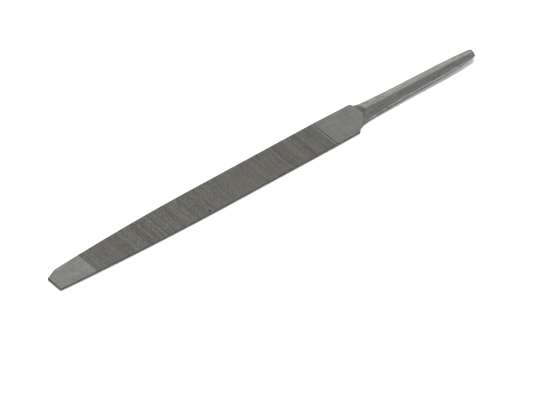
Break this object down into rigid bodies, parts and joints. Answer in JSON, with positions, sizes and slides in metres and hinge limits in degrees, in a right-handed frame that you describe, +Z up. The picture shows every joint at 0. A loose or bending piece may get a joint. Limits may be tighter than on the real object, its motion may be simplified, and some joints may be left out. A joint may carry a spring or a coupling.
{
  "type": "flat file",
  "caption": "Flat steel hand file without a handle, single-cut on both faces, with smooth point and heel and a tapered tang.",
  "frame": {"origin": "centre of the bottom of the bounding box, on the plane the file lies on", "axes": "+X along the file from the point to the end of the tang, +Y across the blade, +Z up out of its upper face"},
  "size_m": [0.2116, 0.014, 0.0043],
  "materials": {
    "file_steel": "hardened carbon steel, satin grey: finely ground point and heel, darker cut faces, forged tang"
  },
  "bodies": {
    "root": {"file_body": "file_steel"}
  },
  "joints": []
}
